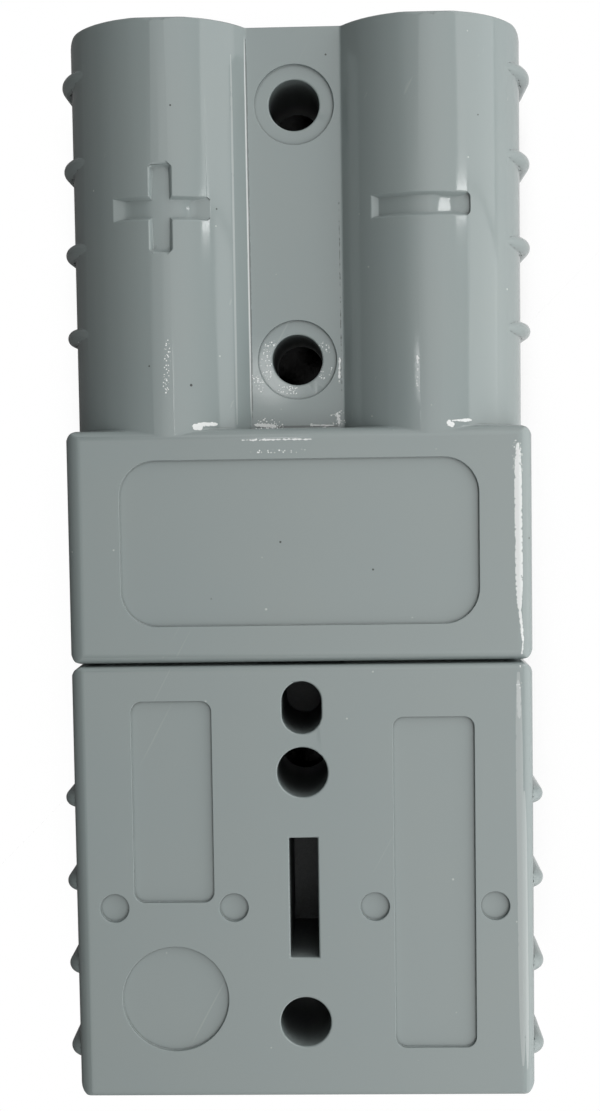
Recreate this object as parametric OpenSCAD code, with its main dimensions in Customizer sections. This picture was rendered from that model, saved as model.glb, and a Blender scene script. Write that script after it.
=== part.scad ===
// Genderless two-pole power connector, 50 A size, as a mated pair.
//
// Both halves are the same moulding with the same contacts and springs. The lower half is the
// upper one turned half a turn about the X axis, which is what genderless means: each half brings
// one hood and two contact carriers, and each hood closes over the other half's carriers.
//
// Frame: millimetres, +Z up, origin on the resting plane below the middle of the pair. +Y runs
// out of the upper half's cable end, and the positive pole lies at -X.

/* [Housing] */
// Width across the hood
housing_w = 36.6; // [36.4:0.1:37.0]
// Height of one half, which is also the height of the mated pair
housing_h = 15.9; // [15.8:0.1:16.0]
// Distance from the middle of the pair to the cable end
cable_end_y = 42.45; // [42:0.05:45]
// How far the hood and the barrels differ in size, so that their faces stay apart
hood_proud = 0.05; // [0.03:0.01:0.08]
// Height of the web between the two barrels
web_h = 12.3; // [12:0.1:12.8]
// Fillet where a barrel meets the web
web_fillet_r = 0.3; // [0.2:0.1:0.6]
// Rounding of the long lower edges
base_edge_r = 1.2; // [0.8:0.1:1.4]
// Rounding of the upright corners
corner_r = 1; // [0.8:0.1:1.2]
// Rounding of the edges at the two ends of the body
end_edge_r = 0.4; // [0.3:0.1:0.6]

/* [Hood] */
// Where the hood ends behind the shoulder
hood_back_y = 10.76; // [10.5:0.02:11.5]
// How far the hood reaches past the middle of the pair
hood_front = 7.6; // [7.4:0.1:7.8]
// Rounding of the hood's side edges
hood_edge_r = 1.4; // [1:0.1:1.5]
// Rounding of the hood's back edge
hood_back_r = 0.8; // [0.5:0.1:1.2]
// Rounding of the hood's front edge
hood_front_r = 0.9; // [0.6:0.1:1.1]
// Thickness of the hood's roof
roof_t = 2; // [1.8:0.1:2.1]
// Thickness of the hood's side walls
side_t = 1.9; // [1.7:0.1:2]
// Width of the partition between the poles, inside the hood
partition_w = 6.4; // [6:0.1:6.6]

/* [Poles] */
// Distance of each pole from the middle plane
pole_x = 10.35; // [10.3:0.05:10.4]
// Radius of the cable entry
entry_r = 5.6; // [5.5:0.05:5.7]
// Where the cable entry narrows to the contact's chamber
entry_y = 30.3; // [30:0.1:31]
// Radius of the contact's chamber
chamber_r = 4.9; // [4.8:0.05:5]
// Where the chamber ends at the front wall
chamber_y = 13.5; // [13.3:0.1:13.6]
// Chamfer at the cable entry's mouth
entry_chamfer = 0.6; // [0.4:0.1:0.8]

/* [Contact carriers] */
// Width of the open channel that holds a contact
channel_w = 9; // [8.8:0.1:9.2]
// Thickness of a carrier's floor
carrier_floor_t = 1.35; // [1.2:0.05:1.45]
// Thickness of the lip that closes a carrier's front
lip_t = 0.9; // [0.7:0.1:1]
// Rounding of a carrier's upright corners
carrier_r = 0.7; // [0.4:0.1:0.8]

/* [Mounting holes] */
// Radius of the two mounting holes
mount_hole_r = 2; // [1.9:0.05:2.1]
// Distance between the two mounting holes
mount_pitch = 20.1; // [20:0.1:20.3]
// Distance from the cable end to the nearer hole
mount_inset = 6.05; // [5.8:0.05:6.2]
// Radius of the shallow seat round each hole
seat_r = 3.15; // [3:0.05:3.3]
// Depth of the shallow seats, the label field and the text fields
recess_depth = 0.3; // [0.2:0.05:0.35]

/* [Underside] */
// Width of the long slot
slot_w = 2.26; // [2:0.02:2.4]
// Length of the long slot
slot_l = 9.65; // [9:0.05:10]
// Width of the oval pocket behind the shoulder
pocket_w = 3.14; // [3:0.02:3.3]
// Length of the oval pocket
pocket_l = 4.17; // [4:0.01:4.4]
// Wall left above the slot and the pocket
blind_skin = 2; // [1.8:0.1:2.4]
// Radius of the round recess for a moulded mark
disc_r = 4.25; // [4:0.05:4.4]
// Radius of the four core-pin dimples
dimple_r = 1.15; // [1:0.05:1.25]
// Depth of the four dimples
dimple_depth = 0.35; // [0.25:0.05:0.45]

/* [Polarity marks] */
// Width of a mark's strokes
stroke_w = 1.8; // [1.5:0.05:2]
// Length of the plus sign's stroke along the body
plus_l = 6.8; // [6.4:0.1:7.2]
// Depth of the marks below the barrel
mark_depth = 0.45; // [0.35:0.05:0.5]
// Depth of the level end of a stroke, measured from the crest of the barrel
mark_level = 0.97; // [0.9:0.01:1.05]
// How far a stroke's walls lean outwards over the depth of the mark
stroke_lean = 0.22; // [0.1:0.02:0.3]
// Rounding of the strokes' corners
stroke_r = 0.45; // [0.3:0.05:0.6]

/* [Grip ribs] */
// Number of ribs on each side of a half
rib_count = 4; // [3:1:4]
// Distance between ribs
rib_pitch = 6.8; // [6.5:0.1:6.9]
// Distance from the cable end to the first rib
rib_inset = 3.45; // [3.3:0.05:3.6]
// Width of a rib
rib_w = 1.3; // [1.1:0.05:1.5]
// How far a rib stands out from the side
rib_proud = 0.9; // [0.7:0.05:1]
// How far a rib stays above the resting plane before it leaves the side
rib_start_z = 2.6; // [2.4:0.1:3]

/* [Contacts] */
// Outer radius of the crimp barrel
crimp_r = 4; // [3.9:0.05:4.1]
// Inner radius of the crimp barrel
crimp_bore_r = 2.9; // [2.8:0.05:3]
// Where the crimp barrel's mouth lies
crimp_mouth_y = 28.5; // [28:0.1:29]
// Length of the crimp barrel
crimp_l = 12.5; // [12:0.1:12.8]
// Depth of the crimp barrel's bore
crimp_bore_l = 11.5; // [11:0.1:12]
// Width of the blade
blade_w = 8.4; // [8:0.1:8.6]
// Thickness of the blade
blade_t = 1.9; // [1.7:0.05:2]
// How far the blade reaches past the middle of the pair
blade_reach = 6.2; // [6:0.1:6.25]
// Width of the hook at the blade's tip
hook_w = 6.4; // [6:0.1:7]
// Height of the hook below the blade
hook_drop = 1.7; // [1.4:0.1:1.9]
// Thickness of the hook
hook_t = 1.25; // [1.1:0.05:1.5]
// Radius of the sight hole in the crimp barrel
sight_r = 0.9; // [0.7:0.05:1]
// Distance of the sight hole from the bottom of the bore
sight_inset = 1.6; // [1.4:0.1:2]

/* [Springs] */
// Thickness of a leaf spring
leaf_t = 0.6; // [0.5:0.05:0.7]
// Width of a leaf spring
leaf_w = 7.6; // [7:0.1:8]
// Length of the tab that anchors a spring in the housing
tab_drop = 0.9; // [0.7:0.1:1]

/* [Fits] */
// Gap between the two hoods along the seam
seam_gap = 0.1; // [0.06:0.02:0.14]
// Gap between a hood's front and the other half's shoulder
shoulder_gap = 0.2; // [0.15:0.05:0.3]
// Gap between a carrier and the hood round it
carrier_gap = 0.3; // [0.25:0.05:0.35]
// Gap between the two blades, which bear on each other
blade_gap = 0.02; // [0.01:0.01:0.04]

/* [Hidden] */

$fn = 96;
over = 1;                                  // how far a cutter runs past the face it opens
skim = 0.02;                               // how far a face stays off the one it follows

half_w = housing_w / 2;
mid_z = housing_h / 2;                     // the plane on which the blades meet
shoulder_y = hood_front + shoulder_gap;    // front of the body, behind the other half's hood
body_half_w = half_w - hood_proud;
body_l = cable_end_y - shoulder_y;
barrel_r = body_half_w - pole_x;
crest_z = mid_z + barrel_r;
hood_l = hood_back_y + hood_front;
hood_z = mid_z + seam_gap / 2;             // lower rim of the hood
roof_z = housing_h - roof_t;               // inner face of the roof
inner_half_w = half_w - side_t;            // inner face of the hood's side walls
cavity_w = inner_half_w - partition_w / 2;

mount_y = [cable_end_y - mount_inset, cable_end_y - mount_inset - mount_pitch];
slot_y = 26.35;                            // middle of the slot, midway between the holes
pocket_y = 11.16;
label_size = [28.1, 13.05];
label_y = 1.88;
label_r = 2.8;
short_field = [-13.5, 10.55, 6.35, 16.12]; // x, y, width and length of the shorter text field
long_field = [7.15, 11.97, 6.4, 26.57];    // the same for the longer one
field_r = 0.85;
disc_pos = [-10.37, 34.48];
dimple_x = [-15.1, -5.6, 5.6, 15.1];
dimple_y = 27.1;
mark_y = 27.9;
mark_floor_r = barrel_r - mark_depth;
// The strokes across the barrels, measured from the barrel's axis: left end, foot of the left
// slope, where the floor leaves its arc, right end, and how steep the floor is from there on
plus_stroke = [-3.8, -2.75, 1.85, 3.8, 24.4];
minus_stroke = [-4.4, -3.8, 0.41, 3.25, 17.2];

carrier_z0 = roof_t + carrier_gap - seam_gap / 2; // clear of the roof of the other half's hood
carrier_z1 = mid_z - 0.2;                  // just below the plane on which the blades meet
carrier_x0 = partition_w / 2 + carrier_gap;
carrier_x1 = inner_half_w - carrier_gap;
carrier_tip_y = 0.5 - shoulder_y;          // clear of the other half's shoulder
floor_z = carrier_z0 + carrier_floor_t;    // floor of the channel
passage_z = mid_z + 0.25;                  // roof of the passage through the front wall

rib_arc_r = 7.95;
rib_arc = [half_w + rib_proud - rib_arc_r, 6.9]; // centre of the rib's upper bend
rib_sweep = 56;                            // degrees that it follows the upper bend
rib_foot_r = 2;
rib_foot_sweep = 70;

blade_top = mid_z - blade_gap / 2;
blade_z = blade_top - blade_t;
crimp_end_y = crimp_mouth_y - crimp_l;
blade_end_y = crimp_end_y - 2.4;           // where the blade begins to open into the barrel

leaf_foot_y = chamber_y - 0.6;             // back end of the leaf
leaf_flat_y = 6.5;                         // where the leaf leaves the floor
leaf_top_y = -2.2;                         // where it bears on the blade
leaf_tip_y = -4.5;
leaf_top_z = blade_z - 0.02;
leaf_tip_drop = 0.7;

plastic = [0.52, 0.56, 0.56];
silver = [0.80, 0.80, 0.78];
steel = [0.62, 0.63, 0.65];

// Outlines

// A rectangle with its own radius at each corner: low left, low right, high right, high left
module plate(size, radii) {
  corners = [[0, 0], [size.x, 0], [size.x, size.y], [0, size.y]];
  difference() {
    square(size);
    for (i = [0:3]) if (radii[i] > 0)
      translate(corners[i]) rotate(90 * i) difference() {
        translate([-over, -over]) square(radii[i] + over);
        translate([radii[i], radii[i]]) circle(radii[i]);
      }
  }
}

module even_plate(size, r) plate(size, [r, r, r, r]);

// Extrudes an outline given in X and Z along Y, from y0 for the length l
module along_y(y0, l) translate([0, y0 + l, 0]) rotate([90, 0, 0]) linear_extrude(l) children();

// Extrudes an outline given in Y and Z along X, centred on x = 0
module along_x(w) rotate([90, 0, 90]) linear_extrude(w, center = true) children();

// Cylinder along Y
module rod(r, y0, y1, r_end = undef)
  translate([0, y0, 0]) rotate([-90, 0, 0])
    cylinder(r1 = r, r2 = is_undef(r_end) ? r : r_end, h = y1 - y0);

module both_poles() for (side = [-1, 1]) translate([side * pole_x, 0, 0]) children();

module both_sides() for (side = [0, 1]) mirror([side, 0, 0]) children();

// Housing

// Section across the body: two barrels on a flat base with a web between them. The fillet's circle
// bites a little into the barrel's, so that the two cross at a point instead of only touching.
module body_section() {
  fillet_z = web_h + web_fillet_r;
  fillet_x = pole_x - sqrt(pow(barrel_r + web_fillet_r - skim, 2) - pow(fillet_z - mid_z, 2));
  for (side = [0, 1]) mirror([side, 0]) {
    plate([body_half_w, mid_z], [0, base_edge_r, 0, 0]);
    intersection() {
      translate([pole_x, mid_z]) circle(barrel_r);
      translate([0, mid_z]) square([body_half_w + over, barrel_r + over]);
    }
    square([pole_x, web_h]);
    difference() {
      polygon([[fillet_x, web_h - over], [pole_x, mid_z], [fillet_x, fillet_z]]);
      translate([fillet_x, fillet_z]) circle(web_fillet_r);
    }
  }
}

module body_block() intersection() {
  along_y(shoulder_y, body_l) body_section();
  translate([-body_half_w, shoulder_y, -over])
    linear_extrude(housing_h + 2 * over) even_plate([2 * body_half_w, body_l], corner_r);
  along_x(housing_w + 2 * over)
    translate([shoulder_y, 0]) even_plate([body_l, crest_z], end_edge_r);
}

module hood_block() intersection() {
  along_y(-hood_front, hood_l) translate([-half_w, hood_z])
    plate([housing_w, housing_h - hood_z], [0, 0, hood_edge_r, hood_edge_r]);
  translate([-half_w, -hood_front, 0])
    linear_extrude(housing_h + over) even_plate([housing_w, hood_l], corner_r);
  along_x(housing_w + 2 * over) translate([-hood_front, hood_z])
    plate([hood_l, housing_h - hood_z], [0, 0, hood_back_r, hood_front_r]);
}

// The two chambers of the hood, which take the other half's carriers
module hood_cavities() both_sides()
  translate([partition_w / 2, -hood_front - over, hood_z - over])
    cube([cavity_w, hood_front + over + shoulder_y, roof_z - hood_z + over]);

// One grip rib at the +X side: up the side and over the shoulder of the barrel
module rib() {
  module section(at) translate([at - rib_w / 2, 0]) {
    circle(d = rib_w);
    translate([-rib_w, -rib_w / 2]) square([rib_w, rib_w]);
  }
  translate([0, 0, rib_start_z])
    linear_extrude(rib_arc.y - rib_start_z) section(half_w + rib_proud);
  translate([rib_arc.x, 0, rib_arc.y]) rotate([90, 0, 0])
    rotate_extrude(angle = rib_sweep) section(rib_arc_r);
  translate([half_w + rib_proud - rib_foot_r, 0, rib_start_z]) rotate([-90, 0, 0])
    rotate_extrude(angle = rib_foot_sweep) section(rib_foot_r);
}

module ribs() both_sides() for (i = [0:rib_count - 1])
  translate([0, cable_end_y - rib_inset - i * rib_pitch, 0]) rib();

module carriers() both_sides()
  translate([carrier_x0, carrier_tip_y, carrier_z0])
    linear_extrude(carrier_z1 - carrier_z0)
      even_plate([carrier_x1 - carrier_x0, shoulder_y - carrier_tip_y + 2 * over], carrier_r);

// Everything that a pole needs, open from the cable end to the carrier's front lip
module pole_way() {
  translate([0, 0, mid_z]) {
    rod(entry_r, entry_y, cable_end_y + over);
    rod(entry_r, cable_end_y - entry_chamfer, cable_end_y, entry_r + entry_chamfer);
    rod(chamber_r, entry_y - (entry_r - chamber_r), entry_y, entry_r);
    rod(chamber_r, chamber_y, entry_y);
  }
  translate([-channel_w / 2, carrier_tip_y + lip_t, floor_z])
    cube([channel_w, shoulder_y - carrier_tip_y - lip_t, mid_z - floor_z]);
  translate([-channel_w / 2, shoulder_y - over, floor_z])
    cube([channel_w, chamber_y - shoulder_y + 2 * over, passage_z - floor_z]);
  translate([-leaf_w / 2 - 0.2, leaf_foot_y - leaf_t - 0.1, floor_z - tab_drop - 0.2])
    cube([leaf_w + 0.4, leaf_t + 0.2, tab_drop + over]);
}

module mounting_holes() for (y = mount_y) translate([0, y, 0]) {
  translate([0, 0, -over]) cylinder(r = mount_hole_r, h = housing_h + 2 * over);
  translate([0, 0, web_h - recess_depth]) cylinder(r = seat_r, h = recess_depth + over);
}

module label_field() translate([-label_size.x / 2, label_y - label_size.y / 2,
                                housing_h - recess_depth])
  linear_extrude(recess_depth + over) even_plate(label_size, label_r);

// Slot, oval pocket, text fields, round recess and dimples of the flat side
module underside() {
  blind_h = web_h - blind_skin;
  translate([-slot_w / 2, slot_y - slot_l / 2, -over]) cube([slot_w, slot_l, blind_h + over]);
  translate([-pocket_w / 2, pocket_y - pocket_l / 2, -over])
    linear_extrude(blind_h + over) even_plate([pocket_w, pocket_l], pocket_w / 2 - skim / 2);
  for (field = [short_field, long_field]) translate([field[0], field[1], -over])
    linear_extrude(recess_depth + over) even_plate([field[2], field[3]], field_r);
  translate([disc_pos.x, disc_pos.y, -over]) cylinder(r = disc_r, h = recess_depth + over);
  for (x = dimple_x) translate([x, dimple_y, -over])
    cylinder(r = dimple_r, h = dimple_depth + over);
}

// Section of a stroke of the given width, with its walls leaning outwards, from below the level
// end of a stroke to above the crest
module stroke_section(w) {
  function lean(z) = stroke_lean * (barrel_r - z) / mark_depth;
  z0 = barrel_r - mark_level - mark_depth / 2;
  z1 = barrel_r + mark_depth / 2;
  polygon([
    [lean(z0) - w / 2, z0], [w / 2 - lean(z0), z0], [w / 2 - lean(z1), z1], [lean(z1) - w / 2, z1]
  ]);
}

// Plan of a stroke, which rounds its corners
module stroke_plan(low, high) translate(low - [skim, skim])
  linear_extrude(barrel_r + over) even_plate(high - low + 2 * [skim, skim], stroke_r);

// What stays solid under a stroke across a barrel: an arc that follows the barrel, a slope up to
// the surface at the left end, and a short steep flat down to a level stretch at the right end
module stroke_bed(stroke) {
  foot = [stroke[1], sqrt(pow(mark_floor_r, 2) - pow(stroke[1], 2))];
  left = [stroke[0], sqrt(pow(barrel_r, 2) - pow(stroke[0], 2))];
  flat_start = [stroke[2], sqrt(pow(mark_floor_r, 2) - pow(stroke[2], 2))];
  level_z = barrel_r - mark_level;
  along_y(-stroke_w, 2 * stroke_w) {
    intersection() {
      circle(mark_floor_r);
      translate([-barrel_r, 0]) square([barrel_r + flat_start.x, barrel_r]);
    }
    polygon([[2 * left.x - foot.x, 0], [foot.x, 0], foot, 2 * left - foot]);
    polygon([
      [foot.x, 0], [barrel_r, 0], [barrel_r, level_z],
      [flat_start.x + (flat_start.y - level_z) / tan(stroke[4]), level_z], flat_start
    ]);
  }
}

module stroke_across(stroke) difference() {
  intersection() {
    rotate([-90, 0, 0]) rotate_extrude() rotate(-90) stroke_section(stroke_w);
    stroke_plan([stroke[0] - stroke_r, -stroke_w / 2], [stroke[3], stroke_w / 2]);
  }
  stroke_bed(stroke);
}

module stroke_along() difference() {
  intersection() {
    along_y(-plus_l, 2 * plus_l) stroke_section(stroke_w);
    along_x(2 * stroke_w) stroke_section(plus_l);
    stroke_plan([-stroke_w / 2, -plus_l / 2], [stroke_w / 2, plus_l / 2]);
  }
  rod(mark_floor_r, -plus_l, plus_l);
}

module polarity_marks() {
  translate([-pole_x, mark_y, mid_z]) {
    stroke_across(plus_stroke);
    stroke_along();
  }
  translate([pole_x, mark_y, mid_z]) stroke_across(minus_stroke);
}

module housing() difference() {
  union() {
    body_block();
    difference() {
      hood_block();
      hood_cavities();
    }
    carriers();
    ribs();
  }
  both_poles() pole_way();
  mounting_holes();
  label_field();
  underside();
  polarity_marks();
}

// Contact and spring, on the axis of their pole

// Side view of the blade with its rounded nose and hook
module blade_outline() {
  nose_y = -blade_reach + blade_t;
  translate([nose_y, blade_z]) square([blade_end_y - nose_y, blade_t]);
  intersection() {
    translate([nose_y, blade_z]) circle(blade_t);
    translate([-blade_reach - over, blade_z]) square([blade_t + over, blade_t + over]);
  }
}

module hook_outline() {
  translate([-blade_reach, blade_z - hook_drop])
    plate([hook_t, hook_drop + 0.2], [hook_t / 3, hook_t / 3, 0, 0]);
}

module contact() difference() {
  union() {
    along_x(blade_w) blade_outline();
    along_x(hook_w) hook_outline();
    hull() {
      translate([-blade_w / 2, blade_end_y - 0.1, blade_z]) cube([blade_w, 0.1, blade_t]);
      translate([0, 0, mid_z]) rod(crimp_r, crimp_end_y, crimp_end_y + 0.1, $fn = 48);
    }
    translate([0, 0, mid_z]) rod(crimp_r, crimp_end_y, crimp_mouth_y);
  }
  translate([0, 0, mid_z]) {
    rod(crimp_bore_r, crimp_mouth_y - crimp_bore_l, crimp_mouth_y + over);
    translate([0, crimp_mouth_y - crimp_bore_l + sight_inset, 0])
      cylinder(r = sight_r, h = crimp_r + over);
  }
}

// Height of the leaf's lower face at a point along it: flat, then a smooth rise, then a short fall
function ramp(t) = 0.5 - 0.5 * cos(180 * max(0, min(1, t)));
function leaf_z(y) = floor_z
  + (leaf_top_z - leaf_t - floor_z) * ramp((leaf_flat_y - y) / (leaf_flat_y - leaf_top_y))
  - leaf_tip_drop * ramp((leaf_top_y - y) / (leaf_top_y - leaf_tip_y));

module spring() {
  steps = 28;
  ys = [for (i = [0:steps]) leaf_tip_y + (leaf_flat_y - leaf_tip_y) * i / steps];
  along_x(leaf_w) {
    polygon(concat(
      [for (y = ys) [y, leaf_z(y)]],
      [for (i = [steps:-1:0]) [ys[i], leaf_z(ys[i]) + leaf_t]]
    ));
    translate([leaf_flat_y, floor_z]) square([leaf_foot_y - leaf_flat_y, leaf_t]);
    translate([leaf_foot_y - leaf_t, floor_z - tab_drop]) square([leaf_t, tab_drop + leaf_t]);
  }
}

// The two halves

// Turns a half over, so that it meets the upper one face to face
module turned_over() translate([0, 0, housing_h]) rotate([180, 0, 0]) children();

module upper_housing() color(plastic) housing();
module upper_contact_positive() color(silver) translate([-pole_x, 0, 0]) contact();
module upper_contact_negative() color(silver) translate([pole_x, 0, 0]) contact();
module upper_spring_positive() color(steel) translate([-pole_x, 0, 0]) spring();
module upper_spring_negative() color(steel) translate([pole_x, 0, 0]) spring();

module lower_housing() color(plastic) turned_over() housing();
module lower_contact_positive() color(silver) turned_over() translate([-pole_x, 0, 0]) contact();
module lower_contact_negative() color(silver) turned_over() translate([pole_x, 0, 0]) contact();
module lower_spring_positive() color(steel) turned_over() translate([-pole_x, 0, 0]) spring();
module lower_spring_negative() color(steel) turned_over() translate([pole_x, 0, 0]) spring();

upper_housing();
upper_contact_positive();
upper_contact_negative();
upper_spring_positive();
upper_spring_negative();
lower_housing();
lower_contact_positive();
lower_contact_negative();
lower_spring_positive();
lower_spring_negative();
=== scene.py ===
import math

import bmesh
import bpy
from mathutils import Matrix, Vector


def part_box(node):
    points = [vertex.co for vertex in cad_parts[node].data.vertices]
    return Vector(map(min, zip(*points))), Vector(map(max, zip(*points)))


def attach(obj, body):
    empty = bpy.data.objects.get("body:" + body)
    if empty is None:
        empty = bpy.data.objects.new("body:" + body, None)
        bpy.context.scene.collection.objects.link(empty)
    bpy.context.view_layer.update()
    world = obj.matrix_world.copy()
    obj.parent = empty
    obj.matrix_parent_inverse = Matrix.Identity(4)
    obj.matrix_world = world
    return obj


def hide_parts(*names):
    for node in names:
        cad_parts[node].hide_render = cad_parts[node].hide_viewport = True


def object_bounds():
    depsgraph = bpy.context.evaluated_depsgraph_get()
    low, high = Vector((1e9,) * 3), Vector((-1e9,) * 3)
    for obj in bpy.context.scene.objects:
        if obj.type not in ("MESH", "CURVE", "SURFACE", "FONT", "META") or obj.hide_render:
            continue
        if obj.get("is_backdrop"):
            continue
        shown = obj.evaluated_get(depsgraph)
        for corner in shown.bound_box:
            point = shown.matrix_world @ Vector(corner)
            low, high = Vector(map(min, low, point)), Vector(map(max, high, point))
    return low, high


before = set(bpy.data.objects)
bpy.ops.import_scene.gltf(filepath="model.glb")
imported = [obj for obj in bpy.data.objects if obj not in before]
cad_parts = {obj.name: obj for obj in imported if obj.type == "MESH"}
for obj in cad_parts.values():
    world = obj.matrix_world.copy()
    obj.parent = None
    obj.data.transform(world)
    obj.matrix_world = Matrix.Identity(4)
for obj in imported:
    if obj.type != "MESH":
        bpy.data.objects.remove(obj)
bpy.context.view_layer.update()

# Camera, floor and lamps

viewSettings = {
    "place": (0.00304, 0.00781, 0.13181),   # metres, almost straight above the pair
    "turn": (-3.46, 1.42, -0.84),           # degrees about X, Y and Z
    "lens": 48.16,
    "sensor": 36,
    "nearest": 0.005,
}

# Each panel is a rectangular lamp that runs along Y. Its long edges are given as (x, z), its ends as
# y, all in metres, and glow is its radiance. The pane is placed for its reflection in the plus and
# minus marks.
panelSettings = {
    "window": {"inner": (0.069, 0.059), "outer": (0.150, 0.004), "ends": (-0.40, 0.042), "glow": 1.45},
    "windowTop": {"inner": (0.123, 0.155), "outer": (0.250, 0.012), "ends": (0.062, 0.45),
                  "glow": 1.45},
    "windowPane": {"inner": (0.1182, 0.1618), "outer": (0.145, 0.135), "ends": (0.0566, 0.0622),
                   "glow": 11},
}

flashSettings = {"place": (-0.0053, 0.020, 0.091), "width": 0.007, "glow": 4}

stageSettings = {
    "floorSize": 6.0,
    "paleShade": (0.12, 0.80),     # the floor as gloss shows it, at -X and at +X of the pair: painted shade towards -X, painted light towards +X
    "paleReach": 0.05,             # half the width over which it goes from one to the other
    "bounceShade": 0.18,           # what the floor gives back to the pair
    "shadowReach": 0.05,
    "shadowDepth": (0.06, 0.62),   # openness at which the floor is black, and is white
    "skyGlow": 1.48,               # the overhead light, from straight up to the +X side
    "skyLean": 10.5,               # degrees from straight up to the edge of its dark side
    "skySoftness": 18,             # degrees on each side of that edge
    "skyLow": 0.10,                # what is left of it at the +X horizon
    "skyFall": (0.15, 0.95),       # where it falls off, as the x of its direction
}


def buildCamera():
    data = bpy.data.cameras.new("camera")
    data.sensor_width = viewSettings["sensor"]
    data.lens = viewSettings["lens"]
    data.clip_start = viewSettings["nearest"]
    camera = bpy.data.objects.new("camera", data)
    camera.location = viewSettings["place"]
    camera.rotation_euler = [math.radians(a) for a in viewSettings["turn"]]
    bpy.context.scene.collection.objects.link(camera)
    bpy.context.scene.camera = camera


def addLamp(name, data, place, lean):
    lamp = bpy.data.objects.new(name, data)
    lamp.location = place
    lamp.rotation_euler = (0, lean, 0)      # lean turns it about Y, from facing straight down
    lamp.visible_camera = False
    bpy.context.scene.collection.objects.link(lamp)


def buildPanel(name, inner, outer, ends, glow):
    across = Vector((outer[0] - inner[0], 0, outer[1] - inner[1]))
    data = bpy.data.lights.new(name, "AREA")
    data.shape = "RECTANGLE"
    data.size, data.size_y = across.length, ends[1] - ends[0]
    data.energy = glow * math.pi * data.size * data.size_y      # watts that give this radiance
    middle = Vector(((inner[0] + outer[0]) / 2, (ends[0] + ends[1]) / 2, (inner[1] + outer[1]) / 2))
    addLamp(name, data, middle, math.atan2(-across.z, across.x))


def buildFlash(place, width, glow):
    data = bpy.data.lights.new("flash", "AREA")
    data.shape = "DISK"
    data.size = width
    data.energy = glow * math.pi * math.pi * width ** 2 / 4
    addLamp("flash", data, place, 0)


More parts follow.
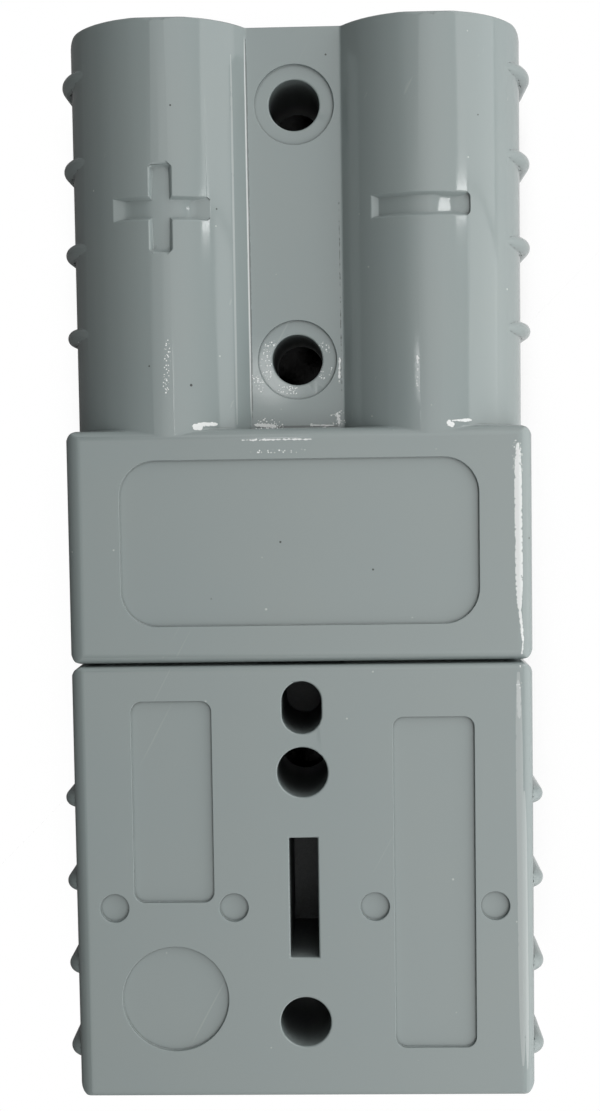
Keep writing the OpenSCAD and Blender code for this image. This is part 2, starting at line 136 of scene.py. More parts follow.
def buildFloor():
    half = stageSettings["floorSize"] / 2
    mesh = bpy.data.meshes.new("floor")
    mesh.from_pydata([(-half, -half, 0), (half, -half, 0), (half, half, 0), (-half, half, 0)],
                     [], [(0, 1, 2, 3)])
    floor = bpy.data.objects.new("floor", mesh)
    bpy.context.scene.collection.objects.link(floor)
    material = bpy.data.materials.new("paleFloor")
    material.use_nodes = True
    nodes, links = material.node_tree.nodes, material.node_tree.links
    nodes.clear()

    def diffuse(shade):
        node = nodes.new("ShaderNodeBsdfDiffuse")
        node.inputs["Color"].default_value = (shade, shade, shade, 1)
        return node

    def mixed(factor, first, second):
        node = nodes.new("ShaderNodeMixShader")
        links.new(factor, node.inputs["Fac"])
        links.new(first.outputs[0], node.inputs[1])
        links.new(second.outputs[0], node.inputs[2])
        return node

    lightPath = nodes.new("ShaderNodeLightPath")
    openness = nodes.new("ShaderNodeAmbientOcclusion")     # 1 in the open, 0 down a hole
    openness.inputs["Distance"].default_value = stageSettings["shadowReach"]
    shadow = nodes.new("ShaderNodeMapRange")
    shadow.interpolation_type = "SMOOTHSTEP"
    shadow.inputs["From Min"].default_value = stageSettings["shadowDepth"][0]
    shadow.inputs["From Max"].default_value = stageSettings["shadowDepth"][1]
    links.new(openness.outputs["AO"], shadow.inputs["Value"])
    white = nodes.new("ShaderNodeEmission")
    white.inputs["Color"].default_value = (1, 1, 1, 1)
    links.new(shadow.outputs["Result"], white.inputs["Strength"])
    shiny = nodes.new("ShaderNodeMath")
    shiny.operation = "MAXIMUM"
    links.new(lightPath.outputs["Is Glossy Ray"], shiny.inputs[0])
    links.new(lightPath.outputs["Is Transmission Ray"], shiny.inputs[1])
    place = nodes.new("ShaderNodeSeparateXYZ")
    links.new(nodes.new("ShaderNodeTexCoord").outputs["Object"], place.inputs[0])
    # the floor as gloss sees it is painted darker towards -X and lighter towards +X
    pale = nodes.new("ShaderNodeMapRange")
    pale.interpolation_type = "SMOOTHSTEP"
    pale.inputs["From Min"].default_value = -stageSettings["paleReach"]
    pale.inputs["From Max"].default_value = stageSettings["paleReach"]
    pale.inputs["To Min"].default_value, pale.inputs["To Max"].default_value = stageSettings["paleShade"]
    links.new(place.outputs["X"], pale.inputs["Value"])
    sheen = diffuse(0)
    links.new(pale.outputs["Result"], sheen.inputs["Color"])
    unseen = mixed(shiny.outputs[0], diffuse(stageSettings["bounceShade"]), sheen)
    seen = mixed(lightPath.outputs["Is Camera Ray"], unseen, white)
    output = nodes.new("ShaderNodeOutputMaterial")
    links.new(seen.outputs[0], output.inputs["Surface"])
    mesh.materials.append(material)
    floor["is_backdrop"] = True


def buildWorld():
    world = bpy.data.worlds.new("studio")
    world.use_nodes = True
    nodes, links = world.node_tree.nodes, world.node_tree.links
    background = nodes["Background"]
    direction = nodes.new("ShaderNodeTexCoord")
    lean = math.radians(stageSettings["skyLean"])
    side = nodes.new("ShaderNodeVectorMath")
    side.operation = "DOT_PRODUCT"
    side.inputs[1].default_value = (math.cos(lean), 0, math.sin(lean))
    links.new(direction.outputs["Generated"], side.inputs[0])
    soft = math.sin(math.radians(stageSettings["skySoftness"]))
    ramp = nodes.new("ShaderNodeMapRange")
    ramp.interpolation_type = "SMOOTHSTEP"
    ramp.inputs["From Min"].default_value = -soft
    ramp.inputs["From Max"].default_value = soft
    ramp.inputs["To Max"].default_value = stageSettings["skyGlow"]
    links.new(side.outputs["Value"], ramp.inputs["Value"])
    parts = nodes.new("ShaderNodeSeparateXYZ")
    links.new(direction.outputs["Generated"], parts.inputs[0])
    fall = nodes.new("ShaderNodeMapRange")
    fall.interpolation_type = "SMOOTHSTEP"
    fall.inputs["From Min"].default_value, fall.inputs["From Max"].default_value = \
        stageSettings["skyFall"]
    fall.inputs["To Min"].default_value = 1
    fall.inputs["To Max"].default_value = stageSettings["skyLow"]
    links.new(parts.outputs["X"], fall.inputs["Value"])
    glow = nodes.new("ShaderNodeMath")
    glow.operation = "MULTIPLY"
    links.new(ramp.outputs["Result"], glow.inputs[0])
    links.new(fall.outputs["Result"], glow.inputs[1])
    lightPath = nodes.new("ShaderNodeLightPath")
    seen = nodes.new("ShaderNodeMix")
    links.new(lightPath.outputs["Is Camera Ray"], seen.inputs["Factor"])
    links.new(glow.outputs[0], seen.inputs["A"])
    seen.inputs["B"].default_value = 1
    links.new(seen.outputs["Result"], background.inputs["Strength"])
    background.inputs["Color"].default_value = (1, 1, 1, 1)
    bpy.context.scene.world = world


bpy.context.scene.view_settings.view_transform = "Standard"
buildCamera()
buildFloor()
buildWorld()
for panelName, settings in panelSettings.items():
    buildPanel(panelName, **settings)
buildFlash(**flashSettings)
print("camera, floor and lamps are in place")

# Surface effects for the materials, each a node group


def newGroup(name, inputs, outputs):
    tree = bpy.data.node_groups.new(name, "ShaderNodeTree")
    for socket, (kind, start) in inputs.items():
        made = tree.interface.new_socket(socket, in_out="INPUT", socket_type=kind)
        if start is not None:
            made.default_value = start
    for socket in outputs:
        tree.interface.new_socket(socket, in_out="OUTPUT", socket_type="NodeSocketFloat")
    return tree, tree.nodes.new("NodeGroupInput"), tree.nodes.new("NodeGroupOutput")


def plug(tree, source, socket):
    if isinstance(source, bpy.types.NodeSocket):
        tree.links.new(source, socket)
    else:
        socket.default_value = source


def mathNode(tree, operation, *values):
    node = tree.nodes.new("ShaderNodeMath")
    node.operation = operation
    for value, socket in zip(values, node.inputs):
        plug(tree, value, socket)
    return node.outputs[0]


def vectorNode(tree, operation, first, second):
    node = tree.nodes.new("ShaderNodeVectorMath")
    node.operation = operation
    plug(tree, first, node.inputs[0])
    plug(tree, second, node.inputs[1])
    return node.outputs["Value" if operation in {"DISTANCE", "DOT_PRODUCT"} else "Vector"]


def noiseNode(tree, vector, scale, detail=2.0, roughness=0.5):
    node = tree.nodes.new("ShaderNodeTexNoise")
    for value, socket in ((vector, "Vector"), (scale, "Scale"), (detail, "Detail"),
                          (roughness, "Roughness")):
        plug(tree, value, node.inputs[socket])
    return node.outputs["Fac"]


def stepNode(tree, value, low, high, fromValue=0.0, toValue=1.0):
    node = tree.nodes.new("ShaderNodeMapRange")
    node.interpolation_type = "SMOOTHSTEP"
    for source, socket in ((value, "Value"), (low, "From Min"), (high, "From Max"),
                           (fromValue, "To Min"), (toValue, "To Max")):
        plug(tree, source, node.inputs[socket])
    return node.outputs["Result"]


# Slow, cloudy change over a surface, about 0.5 in the middle
def buildMottle():
    tree, start, end = newGroup("mottle", {"Vector": ("NodeSocketVector", None),
                                           "Scale": ("NodeSocketFloat", 100.0)}, ["Value"])
    plug(tree, noiseNode(tree, start.outputs["Vector"], start.outputs["Scale"], 3.0, 0.55),
         end.inputs["Value"])
    return tree


# Round specks, one at most in each cell: dust and dirt, and the dots of the painted glints
def buildSpecks():
    tree, start, end = newGroup("specks", {"Vector": ("NodeSocketVector", None),
                                           "Scale": ("NodeSocketFloat", 500.0),
                                           "Size": ("NodeSocketFloat", 0.1),
                                           "Share": ("NodeSocketFloat", 0.1)}, ["Mask"])
    cells = tree.nodes.new("ShaderNodeTexVoronoi")
    plug(tree, start.outputs["Vector"], cells.inputs["Vector"])
    plug(tree, start.outputs["Scale"], cells.inputs["Scale"])
    chance = tree.nodes.new("ShaderNodeSeparateColor")
    plug(tree, cells.outputs["Color"], chance.inputs["Color"])
    size = mathNode(tree, "MULTIPLY", start.outputs["Size"], chance.outputs["Green"])
    dot = mathNode(tree, "LESS_THAN", cells.outputs["Distance"], size)
    kept = mathNode(tree, "LESS_THAN", chance.outputs["Red"], start.outputs["Share"])
    plug(tree, mathNode(tree, "MULTIPLY", dot, kept), end.inputs["Mask"])
    return tree


scratchShape = {"edge": 0.75, "coverShift": 0.35, "softness": 0.06}


# Fine straight scratches along the turned Y axis
def buildScratches():
    tree, start, end = newGroup("scratches", {"Vector": ("NodeSocketVector", None),
                                              "Angle": ("NodeSocketFloat", 0.0),
                                              "Scale": ("NodeSocketFloat", 3000.0),
                                              "Length": ("NodeSocketFloat", 40.0),
                                              "Cover": ("NodeSocketFloat", 0.3)}, ["Mask"])
    turned = tree.nodes.new("ShaderNodeVectorRotate")
    turned.rotation_type = "Z_AXIS"
    plug(tree, start.outputs["Vector"], turned.inputs["Vector"])
    plug(tree, start.outputs["Angle"], turned.inputs["Angle"])
    stretch = tree.nodes.new("ShaderNodeCombineXYZ")
    stretch.inputs["X"].default_value = 1
    plug(tree, mathNode(tree, "DIVIDE", 1.0, start.outputs["Length"]), stretch.inputs["Y"])
    stretch.inputs["Z"].default_value = 1
    streaks = noiseNode(tree, vectorNode(tree, "MULTIPLY", turned.outputs[0], stretch.outputs[0]),
                        start.outputs["Scale"], 2.0)
    edge = mathNode(tree, "SUBTRACT", scratchShape["edge"], mathNode(
        tree, "MULTIPLY", start.outputs["Cover"], scratchShape["coverShift"]))
    plug(tree, stepNode(tree, streaks, edge, mathNode(tree, "ADD", edge, scratchShape["softness"])),
         end.inputs["Mask"])
    return tree


lineMarkShape = {
    "taper": (0.6, 6.0),       # how much thinner the ends are, and how suddenly
    "nearness": 1.2,
    "raggedness": 2.5,         # how far the grain moves the border
    "edge": (1.7, -1.6),       # the border at no cover, and what full cover adds to it
    "softness": 0.12,
}


# Ragged or speckled marks round the line from one point to another, thinner towards its ends.
# A cover of 0 gives a few glints, and one above 1 is solid.
# It draws the plastic's painted highlights and its dark crease lines.
def buildLineMarks():
    tree, start, end = newGroup("lineMarks", {"Vector": ("NodeSocketVector", None),
                                         "From": ("NodeSocketVector", None),
                                         "To": ("NodeSocketVector", None),
                                         "Reach": ("NodeSocketFloat", 0.001),
                                         "Grain": ("NodeSocketFloat", 0.5),
                                         "Cover": ("NodeSocketFloat", 0.5),
                                         "Strength": ("NodeSocketFloat", 1.0)}, ["Mask"])
    run = vectorNode(tree, "SUBTRACT", start.outputs["To"], start.outputs["From"])
    offset = vectorNode(tree, "SUBTRACT", start.outputs["Vector"], start.outputs["From"])
    share = mathNode(tree, "DIVIDE", vectorNode(tree, "DOT_PRODUCT", offset, run),
                     vectorNode(tree, "DOT_PRODUCT", run, run))
    held = tree.nodes.new("ShaderNodeClamp")
    plug(tree, share, held.inputs["Value"])
    along = tree.nodes.new("ShaderNodeVectorMath")
    along.operation = "SCALE"
    plug(tree, run, along.inputs[0])
    plug(tree, held.outputs[0], along.inputs["Scale"])
    distance = vectorNode(tree, "DISTANCE", offset, along.outputs[0])
    fromMiddle = mathNode(tree, "ABSOLUTE", mathNode(tree, "MULTIPLY_ADD", held.outputs[0], 2.0, -1.0))
    taper = mathNode(tree, "MULTIPLY", mathNode(tree, "POWER", fromMiddle, lineMarkShape["taper"][1]),
                     lineMarkShape["taper"][0])
    near = mathNode(tree, "SUBTRACT", mathNode(tree, "SUBTRACT", 1.0, mathNode(
        tree, "DIVIDE", distance, start.outputs["Reach"])), taper)
    spread = mathNode(tree, "MULTIPLY", mathNode(tree, "SUBTRACT", start.outputs["Grain"], 0.5),
                      lineMarkShape["raggedness"])
    level = mathNode(tree, "MULTIPLY_ADD", near, lineMarkShape["nearness"], spread)
    edge = mathNode(tree, "MULTIPLY_ADD", start.outputs["Cover"], lineMarkShape["edge"][1],
                    lineMarkShape["edge"][0])
    ragged = stepNode(tree, level, edge, mathNode(tree, "ADD", edge, lineMarkShape["softness"]))
    inside = stepNode(tree, near, 0.0, 0.1)
    strength = mathNode(tree, "MULTIPLY", inside, start.outputs["Strength"])
    plug(tree, mathNode(tree, "MULTIPLY", ragged, strength), end.inputs["Mask"])
    return tree


# How closed in the surface is: 0 in the open, 1 deep in a hole or a corner. The plastic takes it as
# painted shade in its openings and as darker creases, the metals as dirt.
def buildDirtAndShade():
    tree, start, end = newGroup("dirtAndShade", {"Reach": ("NodeSocketFloat", 0.02),
                                          "Closed": ("NodeSocketFloat", 0.05),
                                          "Open": ("NodeSocketFloat", 0.3)}, ["Mask"])
    openness = tree.nodes.new("ShaderNodeAmbientOcclusion")
    openness.only_local = True          # a part doesn't darken the one that slides over it
    openness.samples = 4
    plug(tree, start.outputs["Reach"], openness.inputs["Distance"])
    plug(tree, stepNode(tree, openness.outputs["AO"], start.outputs["Closed"],
                        start.outputs["Open"], 1.0, 0.0), end.inputs["Mask"])
    return tree


surfaceEffects = {"mottle": buildMottle(), "specks": buildSpecks(), "scratches": buildScratches(),
                  "lineMarks": buildLineMarks(), "dirtAndShade": buildDirtAndShade()}
print("surface effects built")


# A material under way: its tree, its shader, and the object coordinates that its effects read
class Finish:
    def __init__(self, name):
        self.material = bpy.data.materials.new(name)
        self.material.use_nodes = True
        self.tree = self.material.node_tree
        self.shader = self.tree.nodes["Principled BSDF"]
        self.place = self.tree.nodes.new("ShaderNodeTexCoord").outputs["Object"]

    def effect(self, kind, **values):
        node = self.tree.nodes.new("ShaderNodeGroup")
        node.node_tree = surfaceEffects[kind]
        if "Vector" in node.inputs:
            self.tree.links.new(self.place, node.inputs["Vector"])
        for socket, value in values.items():
            plug(self.tree, value, node.inputs[socket])
        return node.outputs[0]

    def blend(self, factor, first, second):
        node = self.tree.nodes.new("ShaderNodeMix")
        node.data_type = "RGBA"
        plug(self.tree, factor, node.inputs["Factor"])
        for value, socket in ((first, node.inputs[6]), (second, node.inputs[7])):
            plug(self.tree, value if isinstance(value, bpy.types.NodeSocket) else (*value, 1), socket)
        return node.outputs[2]

    def most(self, masks):
        top = masks[0]
        for mask in masks[1:]:
            top = mathNode(self.tree, "MAXIMUM", top, mask)
        return top

    def scaled(self, mask, amount, base=0.0):
        return mathNode(self.tree, "MULTIPLY_ADD", mask, amount, base)

    def bump(self, height, strength, distance):
        node = self.tree.nodes.new("ShaderNodeBump")
        node.inputs["Strength"].default_value = strength
        node.inputs["Distance"].default_value = distance
        plug(self.tree, height, node.inputs["Height"])
        plug(self.tree, node.outputs["Normal"], self.shader.inputs["Normal"])


# Moulded plastic

plasticLook = {
    "colour": (0.296, 0.336, 0.326),
    "cloudColour": (0.276, 0.326, 0.327),    # where the colour drifts
    "roughness": 0.09,
    "roughnessSwing": 0.03,                  # how far it drifts with the colour
    "bump": 0.05,
    "bumpDepth": 0.00004,
    "ior": 1.54,
    # the dark of the dirt, of the crease lines and of the painted shade in openings
    "dirtAndShadeColour": (0.012, 0.013, 0.014),
    # the pale of the painted highlights
    "paintedHighlightColour": (0.84, 0.86, 0.85),
    "dustColour": (0.62, 0.64, 0.62),
}

# Patterns in the plastic, by effect and its values
plasticPatterns = {
    "cloud": ("mottle", {"Scale": 90.0}),
    "fine": ("mottle", {"Scale": 1400.0}),
    "depth": ("dirtAndShade", {"Reach": 0.02, "Closed": 0.13, "Open": 0.36}),     # painted shade inside the openings
    # darkens tight creases by how closed in they are
    "corner": ("dirtAndShade", {"Reach": 0.0005, "Closed": 0.42, "Open": 0.72}),
    "dirt": ("specks", {"Scale": 420.0, "Size": 0.045, "Share": 0.6}),
    "dust": ("specks", {"Scale": 600.0, "Size": 0.055, "Share": 0.5}),
    "scratch": ("scratches", {"Angle": 0.5, "Scale": 2200.0, "Length": 60.0, "Cover": 0.06}),
    "dots": ("specks", {"Scale": 7600.0, "Size": 0.55, "Share": 0.75}),
}

# How much of each pattern shows in the colour, in the order they are laid on, and its colour
# Among the coats are the painted highlights and the painted shade inside the openings.
plasticCoats = [("scratch", 0.12, "dustColour"), ("dust", 0.55, "dustColour"),
                ("corner", 0.80, "dirtAndShadeColour"), ("creaseLines", 1.0, "dirtAndShadeColour"),
                ("lineMarks", 1.0, "paintedHighlightColour"), ("depth", 0.99, "dirtAndShadeColour"),
                ("dirt", 0.85, "dirtAndShadeColour")]

# What each pattern adds to the roughness
plasticRoughening = {"scratch": 0.15, "dust": 0.3, "corner": 0.25, "depth": 0.5, "lineMarks": 0.3,
                     "dirt": 0.4}

markGrains = {"coarse": 1500.0, "medium": 4200.0, "glints": 6500.0}


# Points on a circle about a screw hole, at two angles in degrees
def roundHole(centre, radius, first, last):
    return {end: (centre[0] + radius * math.cos(math.radians(angle)),
                  centre[1] + radius * math.sin(math.radians(angle)), centre[2])
            for end, angle in (("From", first), ("To", last))}


# Highlights that these lamps don't give, painted pale in the plastic and so fixed to it. The burr and
# its line are taken as marks of the moulding, with their highlight painted pale as well. Each lies round
# a line between two points, in metres, which were measured and are not worked out from the frame.
paleMarks = [
    # painted highlights along the long edge of the upper hood, and then along the same edge of the lower
    # half
    {"From": (0.01708, 0.0093, 0.0159), "To": (0.01715, -0.0038, 0.0159), "Reach": 0.00033,
     "Grain": "medium", "Cover": 1.05, "Strength": 0.85},
    {"From": (0.01695, 0.0096, 0.0159), "To": (0.01718, 0.0064, 0.0159), "Reach": 0.00055,
     "Grain": "glints", "Cover": 0.55},
    {"From": (0.01715, -0.0034, 0.0159), "To": (0.01742, -0.0062, 0.0158), "Reach": 0.00013,
     "Grain": "medium", "Cover": 0.95, "Strength": 0.9},
    {"From": (0.01742, -0.0061, 0.0158), "To": (0.01718, -0.0082, 0.0159), "Reach": 0.00012,
     "Grain": "medium", "Cover": 0.80, "Strength": 0.8},
    {"From": (0.01700, -0.0092, 0.0159), "To": (0.01716, -0.0098, 0.0159), "Reach": 0.00034,
     "Grain": "glints", "Cover": 0.55, "Strength": 0.9},
    {"From": (0.01702, -0.0086, 0.0159), "To": (0.01722, -0.0400, 0.0158), "Reach": 0.00030,
     "Grain": "coarse", "Cover": 1.25, "Strength": 0.20},
    {"From": (0.01742, -0.0180, 0.0158), "To": (0.01756, -0.0405, 0.0157), "Reach": 0.00020,
     "Grain": "coarse", "Cover": 1.25, "Strength": 0.22},
    {"From": (0.01700, -0.0092, 0.0159), "To": (0.01708, -0.0122, 0.0159), "Reach": 0.00018,
     "Grain": "medium", "Cover": 1.05, "Strength": 0.45},
    # painted highlights beside the hood's back edge
    {"From": (-0.0047, 0.0099, 0.0159), "To": (0.0012, 0.0099, 0.0159), "Reach": 0.00015,
     "Grain": "medium", "Cover": 0.62},
    {"From": (-0.0038, 0.0090, 0.0159), "To": (0.0009, 0.0090, 0.0159), "Reach": 0.00020,
     "Grain": "glints", "Cover": 0.55},
    # painted highlights where the hood's back edge runs into the barrels
    {"From": (-0.0082, 0.01105, 0.0155), "To": (-0.0074, 0.01100, 0.0153), "Reach": 0.00030,
     "Grain": "medium", "Cover": 0.95},
    {"From": (-0.0080, 0.01118, 0.0154), "To": (-0.0061, 0.01122, 0.0148), "Reach": 0.00019,
     "Grain": "medium", "Cover": 1.0},
    {"From": (0.0116, 0.01105, 0.0157), "To": (0.0122, 0.01085, 0.0155), "Reach": 0.00028,
     "Grain": "medium", "Cover": 1.0},
    {"From": (0.0117, 0.01115, 0.0156), "To": (0.0136, 0.01120, 0.0152), "Reach": 0.00016,
     "Grain": "medium", "Cover": 1.0},
    # painted glints on the crests of the barrels
    {"From": (-0.0100, 0.0178, 0.0158), "To": (-0.0102, 0.0134, 0.0158), "Reach": 0.00030,
     "Grain": "glints", "Cover": 0.68},
    {"From": (0.0094, 0.0163, 0.0158), "To": (0.0094, 0.0156, 0.0158), "Reach": 0.00028,
     "Grain": "medium", "Cover": 0.55},
    {"From": (0.0094, 0.0157, 0.0158), "To": (0.0094, 0.0133, 0.0158), "Reach": 0.00020,
     "Grain": "glints", "Cover": 0.55, "Strength": 0.7},
    # painted glints at the foot of the web
    {"From": (-0.0036, 0.0112, 0.0123), "To": (-0.0014, 0.01105, 0.0123), "Reach": 0.0006,
     "Grain": "glints", "Cover": 0.86},
    {"From": (-0.0035, 0.01118, 0.0123), "To": (-0.0018, 0.01100, 0.0123), "Reach": 0.00016,
     "Grain": "medium", "Cover": 0.95},
    {"From": (0.0008, 0.01108, 0.0123), "To": (0.0030, 0.01104, 0.0123), "Reach": 0.00018,
     "Grain": "glints", "Cover": 0.95},
    {"From": (0.0031, 0.0122, 0.0123), "To": (0.0033, 0.0110, 0.0123), "Reach": 0.0006,
     "Grain": "glints", "Cover": 0.88},
    {"From": (0.0034, 0.0168, 0.0123), "To": (0.0033, 0.0142, 0.0123), "Reach": 0.00022,
     "Grain": "medium", "Cover": 0.60},
    {"From": (-0.0036, 0.0152, 0.0123), "To": (-0.0026, 0.0138, 0.0123), "Reach": 0.0005,
     "Grain": "glints", "Cover": 0.55},
    # the burr along the foot of the positive barrel, and a fine line beside it, with their highlight
    # painted
    {"From": (-0.00380, 0.0112, 0.0123), "To": (-0.00388, 0.0421, 0.0124), "Reach": 0.00010,
     "Grain": "coarse", "Cover": 1.25, "Strength": 0.7},
    {"From": (-0.00482, 0.0112, 0.0136), "To": (-0.00486, 0.0400, 0.0136), "Reach": 0.00011,
     "Grain": "coarse", "Cover": 1.2, "Strength": 0.25},
]
# painted glints on the seat round the screw hole near the hood
paleMarks += [{**roundHole((0.0, 0.0163, 0.0121), radius, first, last), "Reach": reach,
                 "Grain": "glints", "Cover": cover}
                for radius, first, last, reach, cover in (
                    (0.0026, 140, 175, 0.0006, 0.52), (0.0027, 172, 212, 0.0006, 0.62),
                    (0.0026, 232, 272, 0.0007, 0.50), (0.0025, 322, 352, 0.0007, 0.52),
                    (0.0024, 8, 34, 0.0006, 0.56))]

# Dark fine lines along the creases at the foot of the web, measured like the marks above
plasticCreaseLines = [
    {"From": (-0.00366, 0.0112, 0.0123), "To": (-0.00376, 0.0421, 0.0123), "Reach": 0.00010,
     "Grain": "coarse", "Cover": 1.0, "Strength": 0.45},
    {"From": (-0.0034, 0.01098, 0.0123), "To": (0.0032, 0.01098, 0.0123), "Reach": 0.00009,
     "Grain": "medium", "Cover": 1.1, "Strength": 0.55},
    {"From": (0.00352, 0.0120, 0.0123), "To": (0.00346, 0.0300, 0.0123), "Reach": 0.00013,
     "Grain": "medium", "Cover": 0.42, "Strength": 0.7},
]


def plasticMaterial():
    finish = Finish("greyMoulding")
    shader = finish.shader
    shader.inputs["IOR"].default_value = plasticLook["ior"]
    patterns = {name: finish.effect(kind, **values)
                for name, (kind, values) in plasticPatterns.items()}
    grains = {name: finish.effect("mottle", Scale=scale) for name, scale in markGrains.items()}
    grains["glints"] = finish.scaled(patterns["dots"], 0.45, finish.scaled(grains["glints"], 0.5))

    def marked(places):
        return finish.most([finish.effect("lineMarks", **{**place, "Grain": grains[place["Grain"]]})
                            for place in places])

    # the painted highlights, and dark lines in the creases
    patterns["lineMarks"], patterns["creaseLines"] = marked(paleMarks), marked(plasticCreaseLines)

    colour = finish.blend(patterns["cloud"], plasticLook["colour"], plasticLook["cloudColour"])
    for name, amount, coat in plasticCoats:
        colour = finish.blend(finish.scaled(patterns[name], amount), colour, plasticLook[coat])
    plug(finish.tree, colour, shader.inputs["Base Color"])

    swing = plasticLook["roughnessSwing"]
    rough = finish.scaled(patterns["cloud"], swing, plasticLook["roughness"] - swing / 2)
    for name, amount in plasticRoughening.items():
        rough = finish.scaled(patterns[name], amount, rough)
    plug(finish.tree, rough, shader.inputs["Roughness"])
    finish.bump(patterns["fine"], plasticLook["bump"], plasticLook["bumpDepth"])
    return finish.material


# Silver plate and spring steel

metalGrime = (0.10, 0.09, 0.08)

silverLook = {
    "colour": (0.80, 0.79, 0.75),
    "tarnish": (0.52, 0.47, 0.40),
    "tarnishEdge": (0.48, 0.72),     # where in the clouds it begins, and where it is full
    "tarnishShare": 0.7,
    "grimeShare": 0.8,
    "roughness": 0.22,
    "tarnishRoughness": 0.16,
    "scratchRoughness": 0.14,
    "bump": (0.25, 0.00002),
}

steelLook = {
    "colour": (0.56, 0.57, 0.58),
    "stain": (0.44, 0.43, 0.41),
    "grimeShare": 0.6,
    "roughness": 0.26,
    "rollingRoughness": 0.12,
    "bump": (0.3, 0.00001),
}


def silverMaterial():
    finish = Finish("silverPlate")
    shader = finish.shader
    shader.inputs["Metallic"].default_value = 1
    cloud = finish.effect("mottle", Scale=260.0)
    tarnish = stepNode(finish.tree, cloud, *silverLook["tarnishEdge"])
    scratch = finish.effect("scratches", Angle=0.05, Scale=2600.0, Length=30.0, Cover=0.35)
    corner = finish.effect("dirtAndShade", Reach=0.004, Closed=0.1, Open=0.5)
    colour = finish.blend(finish.scaled(tarnish, silverLook["tarnishShare"]), silverLook["colour"],
                          silverLook["tarnish"])
    colour = finish.blend(finish.scaled(corner, silverLook["grimeShare"]), colour, metalGrime)
    plug(finish.tree, colour, shader.inputs["Base Color"])
    rough = finish.scaled(tarnish, silverLook["tarnishRoughness"], silverLook["roughness"])
    rough = finish.scaled(scratch, silverLook["scratchRoughness"], rough)
    plug(finish.tree, rough, shader.inputs["Roughness"])
    finish.bump(scratch, *silverLook["bump"])
    return finish.material


def steelMaterial():
    finish = Finish("springSteel")
    shader = finish.shader
    shader.inputs["Metallic"].default_value = 1
    cloud = finish.effect("mottle", Scale=380.0)
    rolled = finish.effect("scratches", Angle=0.0, Scale=5200.0, Length=120.0, Cover=0.75)
    corner = finish.effect("dirtAndShade", Reach=0.003, Closed=0.1, Open=0.4)
    colour = finish.blend(cloud, steelLook["colour"], steelLook["stain"])
    colour = finish.blend(finish.scaled(corner, steelLook["grimeShare"]), colour, metalGrime)
    plug(finish.tree, colour, shader.inputs["Base Color"])
    rough = finish.scaled(rolled, steelLook["rollingRoughness"], steelLook["roughness"])
    plug(finish.tree, rough, shader.inputs["Roughness"])
    finish.bump(rolled, *steelLook["bump"])
    return finish.material


greyMoulding = plasticMaterial()
silverPlate = silverMaterial()
springSteel = steelMaterial()
print("materials built")

# Housings and contacts: each is a clean copy of its solid with its edges rounded as made

housingFinish = {
    "edgeRadius": 0.00013,     # what the mould leaves on an edge
    "thinShare": 0.18,         # on a low wall, the radius is this share of its height
    "leastRadius": 0.00005,
    "edgeSteps": 3,
    "sharpAngle": 26,
}

contactFinish = {
    "edgeRadius": 0.00016,
    "thinShare": 0.18,
    "leastRadius": 0.00005,
    "edgeSteps": 3,
    "sharpAngle": 30,
}


mergeDistance = 2e-6       # metres
flatAngle = 0.6            # degrees within which neighbouring faces are one


# Height of the face above the edge, taken as if the face were a rectangle on it
def faceHeight(face, edge):
    return face.calc_area() / edge.calc_length()


def cleanCopy(node, name, settings):
    mesh = bpy.data.meshes.new(name)
    piece = bpy.data.objects.new(name, mesh)
    bpy.context.scene.collection.objects.link(piece)
    work = bmesh.new()
    work.from_mesh(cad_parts[node].data)
    bmesh.ops.remove_doubles(work, verts=work.verts, dist=mergeDistance)
    bmesh.ops.dissolve_limit(work, angle_limit=math.radians(flatAngle), verts=work.verts,
                             edges=work.edges)
    weights = work.edges.layers.float.new("bevel_weight_edge")
    for edge in work.edges:
        if len(edge.link_faces) == 2 and edge.calc_face_angle() > math.radians(settings["sharpAngle"]):
            low = min(faceHeight(face, edge) for face in edge.link_faces)
            radius = max(settings["leastRadius"], min(settings["edgeRadius"],
                                                      settings["thinShare"] * low))
            edge[weights] = radius / settings["edgeRadius"]
    work.to_mesh(mesh)
    work.free()
    return piece


# Lets the large faces keep their flat shading beside the small ones at an edge
def weightNormals(piece):
    weighted = piece.modifiers.new("normals", "WEIGHTED_NORMAL")
    weighted.weight = 100


def finishSolid(node, name, body, settings, material):
    piece = cleanCopy(node, name, settings)
    bevel = piece.modifiers.new("edges", "BEVEL")
    bevel.width = settings["edgeRadius"]
    bevel.segments = settings["edgeSteps"]
    bevel.limit_method = "WEIGHT"
    bevel.use_clamp_overlap = False
    weightNormals(piece)
    piece.data.shade_smooth()
    piece.data.materials.clear()
    piece.data.materials.append(material)
    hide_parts(node)
    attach(piece, body)
    return piece


for half in ("upper", "lower"):
    body = half + "_half"
    finishSolid(half + "_housing", half + "Shell", body, housingFinish, greyMoulding)
    for pole in ("positive", "negative"):
        finishSolid(f"{half}_contact_{pole}", f"{half}{pole.title()}Contact", body, contactFinish,
                    silverPlate)
print("housings and contacts finished")

# Leaf springs: a strip that follows its own rule, from the tip over the bend to the anchoring tab

springSettings = {
    "Thickness": 0.0006,
    "Width": 0.0076,
    "Foot Length": 0.0064,     # flat on the floor of the channel
    "Rise Length": 0.0087,
    "Rise": 0.00182,
    "Tip Length": 0.0023,
    "Tip Drop": 0.0007,
    "Tab Drop": 0.0009,
    "Bend Radius": 0.00042,    # along the middle of the strip
    "Edge Radius": 0.00012,
    "Points": 72,
    "Bend Points": 8,
    "Edge Points": 3,
}


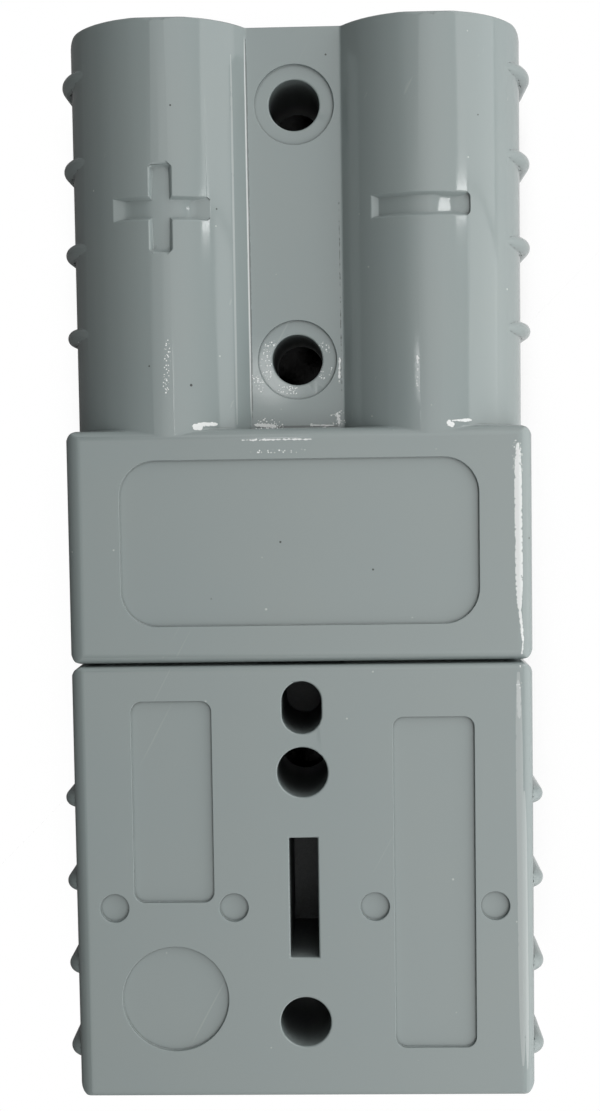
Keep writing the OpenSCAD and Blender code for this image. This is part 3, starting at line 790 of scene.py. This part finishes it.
def buildSpringTree():
    tree = bpy.data.node_groups.new("leafSpring", "GeometryNodeTree")
    for name, value in springSettings.items():
        kind = "NodeSocketInt" if isinstance(value, int) else "NodeSocketFloat"
        tree.interface.new_socket(name, in_out="INPUT", socket_type=kind)
    tree.interface.new_socket("Material", in_out="INPUT", socket_type="NodeSocketMaterial")
    tree.interface.new_socket("Geometry", in_out="OUTPUT", socket_type="NodeSocketGeometry")
    start, end = tree.nodes.new("NodeGroupInput"), tree.nodes.new("NodeGroupOutput")
    given = start.outputs

    def made(kind, mode=None, **sources):
        node = tree.nodes.new(kind)
        if mode:
            node.mode = mode
        for socket, source in sources.items():
            plug(tree, source, node.inputs[socket.replace("_", " ")])
        return node

    # 0 before the start of a stretch, 1 past its end, and half a cosine wave between them
    def ramp(distance, length):
        held = mathNode(tree, "MINIMUM", 1.0, mathNode(tree, "MAXIMUM", 0.0, mathNode(
            tree, "DIVIDE", distance, length)))
        wave = mathNode(tree, "COSINE", mathNode(tree, "MULTIPLY", held, math.pi))
        return mathNode(tree, "SUBTRACT", 0.5, mathNode(tree, "MULTIPLY", wave, 0.5))

    # y and z are measured from the outer foot of the strip, its underside being at z = 0
    half = mathNode(tree, "MULTIPLY", given["Thickness"], 0.5)
    index = made("GeometryNodeInputIndex").outputs[0]
    cornerIndex = mathNode(tree, "SUBTRACT", given["Points"], 2.0)
    raised = mathNode(tree, "ADD", given["Foot Length"], given["Rise Length"])
    total = mathNode(tree, "ADD", raised, given["Tip Length"])
    share = mathNode(tree, "MINIMUM", 1.0, mathNode(tree, "DIVIDE", index, cornerIndex))
    fromFoot = mathNode(tree, "MULTIPLY", mathNode(tree, "SUBTRACT", total, half),
                        mathNode(tree, "SUBTRACT", 1.0, share))
    distance = mathNode(tree, "ADD", fromFoot, half)
    rise = mathNode(tree, "MULTIPLY", given["Rise"], ramp(
        mathNode(tree, "SUBTRACT", distance, given["Foot Length"]), given["Rise Length"]))
    fall = mathNode(tree, "MULTIPLY", given["Tip Drop"], ramp(
        mathNode(tree, "SUBTRACT", distance, raised), given["Tip Length"]))
    onLeaf = mathNode(tree, "ADD", half, mathNode(tree, "SUBTRACT", rise, fall))
    onTab = mathNode(tree, "GREATER_THAN", index, mathNode(tree, "ADD", cornerIndex, 0.5))
    dropped = mathNode(tree, "MULTIPLY", onTab, mathNode(tree, "ADD", given["Tab Drop"], half))
    place = tree.nodes.new("ShaderNodeCombineXYZ")
    plug(tree, mathNode(tree, "MULTIPLY", distance, -1.0), place.inputs["Y"])
    plug(tree, mathNode(tree, "SUBTRACT", onLeaf, dropped), place.inputs["Z"])

    line = made("GeometryNodeMeshLine", Count=given["Points"])
    path = made("GeometryNodeMeshToCurve", Mesh=line.outputs["Mesh"])
    path = made("GeometryNodeSetPosition", Geometry=path.outputs["Curve"], Position=place.outputs[0])
    atCorner = mathNode(tree, "COMPARE", index, cornerIndex, 0.5)
    bent = made("GeometryNodeFilletCurve", "POLY", Curve=path.outputs["Geometry"],
                Count=given["Bend Points"],
                Radius=mathNode(tree, "MULTIPLY", atCorner, given["Bend Radius"]))
    flat = made("GeometryNodeSetCurveNormal", "FREE", Curve=bent.outputs["Curve"],
                Normal=(1, 0, 0))
    outline = made("GeometryNodeCurvePrimitiveQuadrilateral", Width=given["Width"],
                   Height=given["Thickness"])
    rounded = made("GeometryNodeFilletCurve", "POLY", Curve=outline.outputs["Curve"],
                   Count=given["Edge Points"], Radius=given["Edge Radius"])
    strip = made("GeometryNodeCurveToMesh", Curve=flat.outputs["Curve"],
                 Profile_Curve=rounded.outputs["Curve"], Fill_Caps=True)
    smooth = made("GeometryNodeSetShadeSmooth", Geometry=strip.outputs["Mesh"])
    real = made("GeometryNodeRealizeInstances", Geometry=smooth.outputs["Geometry"])
    coated = made("GeometryNodeSetMaterial", Geometry=real.outputs["Geometry"],
                  Material=given["Material"])
    plug(tree, coated.outputs["Geometry"], end.inputs["Geometry"])
    return tree


def buildSpring():
    tree = buildSpringTree()
    carrier = bpy.data.objects.new("springCarrier", bpy.data.meshes.new("springCarrier"))
    bpy.context.scene.collection.objects.link(carrier)
    modifier = carrier.modifiers.new("leafSpring", "NODES")
    modifier.node_group = tree
    for item in tree.interface.items_tree:
        if item.in_out == "INPUT":
            modifier[item.identifier] = springSettings.get(item.name, springSteel)
    bpy.context.view_layer.update()
    evaluated = carrier.evaluated_get(bpy.context.evaluated_depsgraph_get())
    mesh = bpy.data.meshes.new_from_object(evaluated)
    carrier.modifiers.clear()
    bpy.data.objects.remove(carrier)
    return mesh


springMesh = buildSpring()
for half in ("upper", "lower"):
    for pole in ("positive", "negative"):
        node = f"{half}_spring_{pole}"
        low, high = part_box(node)
        middle = (low[0] + high[0]) / 2
        if half == "upper":
            place = Matrix.Translation((middle, high[1], low[2] + springSettings["Tab Drop"]))
        else:
            place = Matrix.Translation((middle, low[1], high[2] - springSettings["Tab Drop"]))
            place = place @ Matrix.Rotation(math.pi, 4, "X")
        mesh = springMesh.copy()
        mesh.transform(place)
        spring = bpy.data.objects.new(f"{half}{pole.title()}Spring", mesh)
        bpy.context.scene.collection.objects.link(spring)
        weightNormals(spring)
        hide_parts(node)
        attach(spring, half + "_half")
bpy.data.meshes.remove(springMesh)
print("leaf springs laid in")

low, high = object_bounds()
